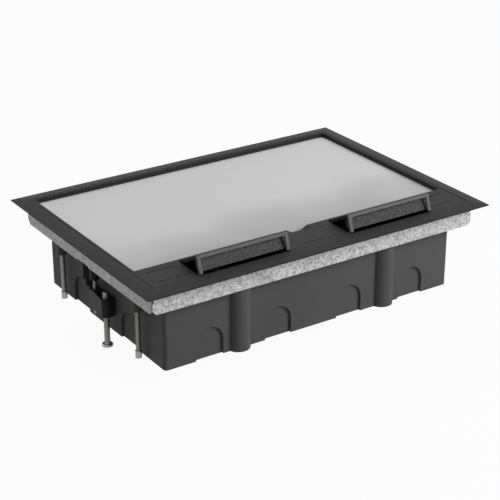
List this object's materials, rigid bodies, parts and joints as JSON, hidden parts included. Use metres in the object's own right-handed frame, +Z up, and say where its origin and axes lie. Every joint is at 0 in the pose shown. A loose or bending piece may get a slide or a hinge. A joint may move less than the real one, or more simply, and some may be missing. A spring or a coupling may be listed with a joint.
{
  "type": "floor socket box",
  "caption": "Recessed floor socket box with steel-inlaid hinged lid, cable flaps, galvanised ring and swing-out floor clamps.",
  "frame": {"origin": "under the centre of the box, at the level of the undersides of the two levelling feet", "axes": "+X along the long side, +Y from the cable flaps towards the lid's hinge, +Z up out of the floor"},
  "size_m": [0.33, 0.2316, 0.1027],
  "materials": {
    "plastic_dark": "satin, fine grain",
    "plastic_box": "matt, moulded",
    "steel_plate": "fine brushed",
    "zinc_sheet": "hot-dip galvanised, spangled",
    "zinc_screw": "bright zinc plated",
    "plastic_grey": "satin",
    "plastic_black": "matt, glass-filled",
    "foam_black": "open-cell foam",
    "plastic_white": "semi-gloss",
    "brass_contact": "bright"
  },
  "bodies": {
    "surround": {"trim_frame": "plastic_dark", "mounting_ring": "zinc_sheet", "trim_screws": "zinc_screw", "adjusting_screws": "zinc_screw", "screw_collars": "zinc_screw", "lid_hinge_pins": "zinc_screw", "earth_terminal": "brass_contact", "earth_screw": "zinc_screw", "clamp_guide_left": "plastic_black", "clamp_guide_right": "plastic_black"},
    "box": {"box_body": "plastic_box", "partition_left": "plastic_grey", "partition_centre": "plastic_grey", "partition_right": "plastic_grey", "module_carrier_1": "plastic_grey", "module_carrier_2": "plastic_grey", "module_carrier_3": "plastic_grey", "module_carrier_4": "plastic_grey", "carrier_screws": "zinc_screw", "power_socket_1": "plastic_white", "power_socket_2": "plastic_white", "power_socket_3": "plastic_white", "power_socket_4": "plastic_white", "power_socket_5": "plastic_white", "power_socket_6": "plastic_white", "socket_earth_clips": "brass_contact", "data_module_1": "plastic_white", "data_module_2": "plastic_white", "data_module_3": "plastic_white", "data_jacks": "plastic_black", "blank_plate_1": "plastic_white", "blank_plate_2": "plastic_white", "blank_plate_3": "plastic_white"},
    "lid": {"lid_frame": "plastic_dark", "lid_plate": "steel_plate", "latch_pin": "zinc_screw", "latch_spring": "zinc_screw", "flap_pins": "zinc_screw"},
    "latch": {"latch_handle": "plastic_dark"},
    "flap_left": {"flap_panel_left": "plastic_dark", "flap_bow_left": "plastic_grey", "flap_foam_left": "foam_black"},
    "screw_left": {"clamp_screw_left": "zinc_screw"},
    "nut_left": {"clamp_nut_left": "zinc_screw"},
    "arm_left": {"clamp_arm_left": "plastic_black"},
    "foot_left": {"foot_screw_left": "zinc_screw"},
    "flap_right": {"flap_panel_right": "plastic_dark", "flap_bow_right": "plastic_grey", "flap_foam_right": "foam_black"},
    "screw_right": {"clamp_screw_right": "zinc_screw"},
    "nut_right": {"clamp_nut_right": "zinc_screw"},
    "arm_right": {"clamp_arm_right": "plastic_black"},
    "foot_right": {"foot_screw_right": "zinc_screw"}
  },
  "joints": [
    {"name": "box_depth", "type": "slide", "parent": "surround", "child": "box", "axis": [0, 0, -1], "range_m": [0, 0.0335]},
    {"name": "lid_hinge", "type": "hinge", "parent": "surround", "child": "lid", "pos_m": [0, 0.1015, 0.0867], "axis": [-1, 0, 0], "range_deg": [0, 95]},
    {"name": "latch_hinge", "type": "hinge", "parent": "lid", "child": "latch", "pos_m": [0, -0.097, 0.0857], "axis": [1, 0, 0], "range_deg": [0, 60]},
    {"name": "flap_left_hinge", "type": "hinge", "parent": "lid", "child": "flap_left", "pos_m": [0, -0.0731, 0.0866], "axis": [-1, 0, 0], "range_deg": [-29.5, 0]},
    {"name": "flap_right_hinge", "type": "hinge", "parent": "lid", "child": "flap_right", "pos_m": [0, -0.0731, 0.0866], "axis": [-1, 0, 0], "range_deg": [-29.5, 0]},
    {"name": "clamp_screw_left_turn", "type": "hinge", "parent": "surround", "child": "screw_left", "pos_m": [-0.1453, 0.006, 0.05], "axis": [0, 0, -1], "range_deg": [0, 3600]},
    {"name": "clamp_nut_left_lift", "type": "slide", "parent": "surround", "child": "nut_left", "axis": [0, 0, 1], "range_m": [0, 0.007]},
    {"name": "clamp_arm_left_swing", "type": "hinge", "parent": "nut_left", "child": "arm_left", "pos_m": [-0.1453, 0.006, 0.035], "axis": [0, 0, -1], "range_deg": [0, 90]},
    {"name": "foot_screw_left_travel", "type": "slide", "parent": "arm_left", "child": "foot_left", "axis": [0, 0, 1], "range_m": [-0.01, 0.011]},
    {"name": "clamp_screw_right_turn", "type": "hinge", "parent": "surround", "child": "screw_right", "pos_m": [0.1453, -0.006, 0.05], "axis": [0, 0, -1], "range_deg": [0, 3600]},
    {"name": "clamp_nut_right_lift", "type": "slide", "parent": "surround", "child": "nut_right", "axis": [0, 0, 1], "range_m": [0, 0.007]},
    {"name": "clamp_arm_right_swing", "type": "hinge", "parent": "nut_right", "child": "arm_right", "pos_m": [0.1453, -0.006, 0.035], "axis": [0, 0, -1], "range_deg": [0, 90]},
    {"name": "foot_screw_right_travel", "type": "slide", "parent": "arm_right", "child": "foot_right", "axis": [0, 0, 1], "range_m": [-0.01, 0.011]}
  ],
  "couplings": [
    {"joint": "clamp_screw_left_turn", "follows": "clamp_nut_left_lift", "rad_per_m": 8976},
    {"joint": "clamp_screw_right_turn", "follows": "clamp_nut_right_lift", "rad_per_m": 8976}
  ]
}
